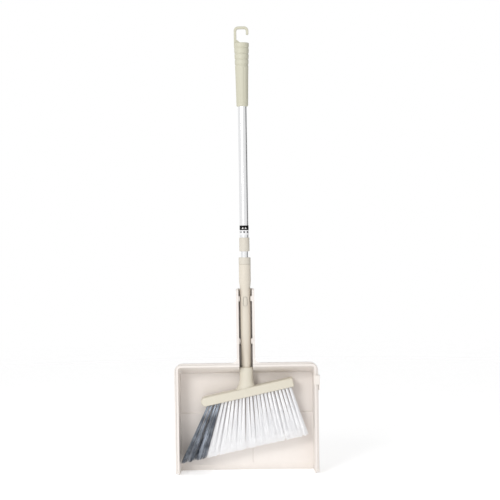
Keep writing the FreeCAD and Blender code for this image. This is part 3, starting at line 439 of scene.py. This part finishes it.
def filament(line, along, share, reach, draw):
    """Centreline of one filament. Share is its place in the bundle, reach the half cell at the tips."""
    root, tip = line
    depth = (root - tip).normalized() * BUNDLE_DEPTH
    bow = Vector((draw.gauss(0, BOW), draw.gauss(0, BOW), 0))
    curl = Vector((draw.gauss(0, CURL), draw.gauss(0, CURL), 0))
    end = 1 - draw.random() * RAGGED / (root - tip).length
    spread = squared(share)
    path = []
    for step in range(FILAMENT_STEPS + 1):
        t = end * step / FILAMENT_STEPS
        open_by = t ** BUNDLE_OPENING
        aside = share[0] * BUNDLE_R * (1 - open_by) + spread[0] * reach[0] * TIP_CROWDING * open_by
        back = share[1] * BUNDLE_R * (1 - open_by) + spread[1] * reach[1] * TIP_CROWDING * open_by
        place = root + depth + (tip - root - depth) * t
        place += along * aside + Vector((0, back, 0))
        place += bow * (4 * t * (1 - t)) + curl * t ** 3
        path.append(place)
    return path


def in_disc(draw):
    angle = draw.uniform(0, 2 * math.pi)
    radius = math.sqrt(draw.random())
    return radius * math.cos(angle), radius * math.sin(angle)


def bundle_share(strand, draw):
    """Place of a filament near its strand's middle, kept in the bundle's disc."""
    x = strand[0] + draw.gauss(0, STRAND_SCATTER)
    y = strand[1] + draw.gauss(0, STRAND_SCATTER)
    size = max(1.0, math.hypot(x, y))
    return x / size, y / size


def squared(share):
    """Place in the square cell that a place in the disc moves to."""
    x, y = share
    widest = max(abs(x), abs(y), 1e-6)
    grow = math.hypot(x, y) / widest
    return x * grow, y * grow


class Tubes:
    """Mesh of many thin tubes, with a tone for each tube and the place along it."""

    def __init__(self):
        self.places = []
        self.faces = []
        self.tones = []
        self.alongs = []

    def add(self, path, radius, tone):
        across = (path[-1] - path[0]).normalized().orthogonal().normalized()
        other = (path[-1] - path[0]).normalized().cross(across)
        first = len(self.places)
        steps = len(path) - 1
        for step, place in enumerate(path):
            r = radius * (1 - (1 - FILAMENT_TIP) * step / steps)
            for side in range(FILAMENT_SIDES):
                turn = 2 * math.pi * side / FILAMENT_SIDES
                self.places.append(place + across * (r * math.cos(turn)) + other * (r * math.sin(turn)))
                self.tones.append(tone)
                self.alongs.append(step / steps)
        for step in range(steps):
            ring = first + step * FILAMENT_SIDES
            for side in range(FILAMENT_SIDES):
                after = (side + 1) % FILAMENT_SIDES
                self.faces.append((ring + side, ring + after, ring + FILAMENT_SIDES + after,
                                   ring + FILAMENT_SIDES + side))
        last = first + steps * FILAMENT_SIDES
        self.faces.append(tuple(reversed(range(first, first + FILAMENT_SIDES))))
        self.faces.append(tuple(range(last, last + FILAMENT_SIDES)))

    def build(self, name, material):
        mesh = bpy.data.meshes.new(name)
        mesh.from_pydata(self.places, [], self.faces)
        for attribute, values in (("tone", self.tones), ("along", self.alongs)):
            mesh.attributes.new(attribute, "FLOAT", "POINT").data.foreach_set("value", values)
        mesh.polygons.foreach_set("use_smooth", [True] * len(mesh.polygons))
        mesh.materials.append(material)
        made = bpy.data.objects.new(name, mesh)
        bpy.context.scene.collection.objects.link(made)
        return made


def tip_reach(rows, row, index, along):
    """Half width and half depth of a tuft's cell at the tips."""
    tips = [line[1] for line in rows[row]]
    low = tips[max(index - 1, 0)].dot(along)
    high = tips[min(index + 1, len(tips) - 1)].dot(along)
    spans = min(index + 1, len(tips) - 1) - max(index - 1, 0)
    deep = abs(rows[ROWS - 1][index][1].y - rows[0][index][1].y) / (ROWS - 1)
    return (high - low) / spans / 2, deep / 2


def make_bristles(materials):
    """Filaments of every tuft, one piece for each row of one colour."""
    along = bar_axes()[0]
    rows = tuft_lines()
    for row, lines in enumerate(rows):
        grey_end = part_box(row_name("grey", row))[1][0]
        tubes = {"grey": Tubes(), "white": Tubes()}
        draw = random.Random(100 + row)
        for index, line in enumerate(lines):
            colour = "grey" if line[0].x < grey_end else "white"
            reach = tip_reach(rows, row, index, along)
            tuft_tone = draw.random()
            strands = [(in_disc(draw), draw.random()) for _ in range(STRANDS)]
            for _ in range(FILAMENTS):
                strand, strand_tone = draw.choice(strands)
                share = bundle_share(strand, draw)
                path = filament(line, along, share, reach, draw)
                tones = (tuft_tone, strand_tone, draw.random())
                tubes[colour].add(path, FILAMENT_R, sum(a * b for a, b in zip(TONE_SHARES, tones)))
        for colour, made in tubes.items():
            piece = made.build(colour + "_filaments_" + str(row + 1), materials[colour])
            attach(piece, "broom")
            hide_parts(row_name(colour, row))


# ---- Label marks

def wrapped_mark(name, place, half_width, upper, lower, material):
    """Thin mark on the label. Upper and lower give its height at a share of its half width."""
    turn, foot, base_r = place
    points = []
    for k in range(MARK_STRIPS + 1):
        share = 2 * k / MARK_STRIPS - 1
        angle = turn + share * half_width / base_r
        side = Vector((math.sin(angle), -math.cos(angle), 0))
        for r in (base_r, base_r + MARK_THICKNESS):
            for rise in (lower(share), upper(share)):
                points.append(side * r + Vector((0, 0, foot + rise)))
    faces = [(0, 1, 3, 2)]
    for k in range(MARK_STRIPS):
        a = 4 * k
        b = a + 4
        faces += [(a, b, b + 1, a + 1), (a + 2, a + 3, b + 3, b + 2)]
        faces += [(a, a + 2, b + 2, b), (a + 1, b + 1, b + 3, a + 3)]
    last = 4 * MARK_STRIPS
    faces.append((last, last + 2, last + 3, last + 1))
    mesh = bpy.data.meshes.new(name)
    mesh.from_pydata(points, [], faces)
    mesh.materials.append(material)
    made = bpy.data.objects.new(name, mesh)
    bpy.context.scene.collection.objects.link(made)
    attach(made, "upper_pole")


def make_marks(split):
    """Light triangles on the label's black band and dark lozenges on its white one."""
    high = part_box("pole_label")[1]
    base_r = high[0]
    least = MARK_EDGE
    white_ink = ink_material("white_ink", *WHITE_INK)
    black_ink = ink_material("black_ink", *BLACK_INK)
    half, height = LIGHT_MARK
    foot = (split + high[2]) / 2 - height * LIGHT_MARK_DROP
    for k, degrees in enumerate(LIGHT_MARK_PLACES):
        place = (math.radians(degrees), foot, base_r)
        wrapped_mark("label_triangle_" + str(k + 1), place, half,
                     lambda s: least + (height - least) * (1 - abs(s)), lambda s: 0, white_ink)
    half, height = DARK_MARK
    foot = split - DARK_MARK_DROP
    for k in range(DARK_MARK_COUNT):
        place = (2 * math.pi * k / DARK_MARK_COUNT, foot, base_r)
        wrapped_mark("label_lozenge_" + str(k + 1), place, half,
                     lambda s: least + (height / 2 - least) * (1 - abs(s)),
                     lambda s: -least - (height / 2 - least) * (1 - abs(s)), black_ink)


# ---- Camera, light and floor

def make_camera():
    """Camera at the broom's middle height, rolled a little as the object stands in the picture."""
    data = bpy.data.cameras.new("camera")
    data.sensor_width = SENSOR_WIDTH
    data.lens = SENSOR_WIDTH * CAMERA_DISTANCE / PICTURE_WIDTH
    camera = bpy.data.objects.new("camera", data)
    bpy.context.scene.collection.objects.link(camera)
    place = Vector((CAMERA_SIDE, -CAMERA_DISTANCE, CAMERA_HEIGHT))
    look = (Vector(AIM) - place).to_track_quat("-Z", "Y")
    camera.location = place
    camera.rotation_mode = "QUATERNION"
    camera.rotation_quaternion = look @ Quaternion((0, 0, 1), CAMERA_ROLL)
    bpy.context.scene.camera = camera


def make_light(name, place, target, size, power):
    data = bpy.data.lights.new(name, "AREA")
    data.shape = "RECTANGLE"
    data.size, data.size_y = size
    data.energy = power
    light = bpy.data.objects.new(name, data)
    light.location = place
    light.rotation_mode = "QUATERNION"
    light.rotation_quaternion = (Vector(target) - Vector(place)).to_track_quat("-Z", "Y")
    bpy.context.scene.collection.objects.link(light)


def make_studio():
    """White studio with a dark flag on the right, a key light from the left front and a white floor."""
    world = bpy.data.worlds.new("studio")
    bpy.context.scene.world = world
    world.use_nodes = True
    tree = world.node_tree
    tree.nodes.clear()
    towards = add_node(tree, "TexCoord").outputs["Generated"]
    parts = add_node(tree, "SeparateXYZ", {0: towards})
    front = math_node(tree, "MULTIPLY", parts.outputs["Y"], -1.0)
    around = math_node(tree, "ARCTAN2", parts.outputs["X"], front)
    turn = ranged(tree, around, -math.pi, math.pi, 0.0, 1.0)
    ramp = add_node(tree, "ValToRGB", {0: turn})
    stops = ramp.color_ramp
    stops.interpolation = "EASE"
    while len(stops.elements) > 1:
        stops.elements.remove(stops.elements[0])
    for i, (azimuth, level) in enumerate(STUDIO_RING):
        place = (azimuth + 180) / 360
        stop = stops.elements[0] if i == 0 else stops.elements.new(place)
        stop.position = place
        stop.color = (level, level, level, 1)
    path = add_node(tree, "LightPath")
    gloss = math_node(tree, "MULTIPLY", path.outputs["Is Glossy Ray"], STUDIO_GLOSS)
    strength = math_node(tree, "ADD", gloss, STUDIO_STRENGTH)
    lit = add_node(tree, "Background", {"Color": ramp.outputs[0], "Strength": strength})
    seen = add_node(tree, "Background", {"Color": WHITE, "Strength": 1.0})
    shown = {0: path.outputs["Is Camera Ray"], 1: lit.outputs[0], 2: seen.outputs[0]}
    mix = add_node(tree, "MixShader", shown)
    add_node(tree, "OutputWorld", {0: mix.outputs[0]})
    make_light("key", KEY_PLACE, KEY_TARGET, KEY_SIZE, KEY_POWER)
    mesh = bpy.data.meshes.new("floor")
    half = FLOOR_HALF
    z = -FLOOR_DROP
    square = [(-half, -half, z), (half, -half, z), (half, half, z), (-half, half, z)]
    mesh.from_pydata(square, [], [(0, 1, 2, 3)])
    floor = bpy.data.objects.new("floor", mesh)
    bpy.context.scene.collection.objects.link(floor)
    mesh.materials.append(floor_material())
    bpy.context.scene.view_settings.view_transform = "Standard"


def floor_material():
    """White floor that fades out into the background."""
    material, tree, shader = new_material("floor")
    shader.inputs["Base Color"].default_value = FLOOR_COLOUR
    shader.inputs["Roughness"].default_value = FLOOR_ROUGHNESS
    shader.inputs["Emission Color"].default_value = WHITE
    shader.inputs["Emission Strength"].default_value = FLOOR_GLOW
    place = add_node(tree, "TexCoord").outputs["Object"]
    far = add_node(tree, "VectorMath", {0: place}, operation="LENGTH")
    start, end = FLOOR_FADE
    fade = add_node(tree, "MapRange", {"Value": far.outputs["Value"], "From Min": start, "From Max": end},
                    interpolation_type="SMOOTHSTEP")
    clear = add_node(tree, "BsdfTransparent")
    mix = add_node(tree, "MixShader", {0: fade.outputs[0], 1: shader.outputs[0], 2: clear.outputs[0]})
    tree.links.new(mix.outputs[0], tree.nodes["Material Output"].inputs["Surface"])
    return material


def dress_frame(split):
    """Materials of the CAD nodes that stay visible."""
    wear(moulded("pan_plastic", PAN_PLASTIC, foot_darkening=PAN_FOOT_DARKENING), "pan_tray")
    wear(moulded("clip_plastic", CLIP_PLASTIC), "rim_clip")
    wear(moulded("block_plastic", BLOCK_PLASTIC), "brush_block")
    wear(moulded("sleeve_plastic", SLEEVE_PLASTIC), "handle_sleeve")
    wear(moulded("cap_plastic", CAP_PLASTIC), "sleeve_cap", "pole_collar")
    wear(moulded("button_plastic", BUTTON_PLASTIC), "lock_button")
    wear(moulded("grip_plastic", GRIP_PLASTIC, *GRIP_GRAIN), "pole_grip")
    wear(moulded("natural_nylon", NATURAL_NYLON), "pole_plug", "cam_core", "cam_ring")
    wear(drawn_metal("anodised_aluminium", ALUMINIUM), "inner_pole", "outer_pole")
    wear(drawn_metal("spring_steel", SPRING_STEEL), "button_spring", "tuft_anchors")
    wear(label_material(split), "pole_label")


make_camera()
make_studio()
label_low, label_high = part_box("pole_label")
label_split = (label_low[2] + label_high[2]) / 2
dress_frame(label_split)
make_bristles({
    "grey": filament_material("grey_filament", GREY_FILAMENT),
    "white": filament_material("white_filament", WHITE_FILAMENT),
})
make_marks(label_split)
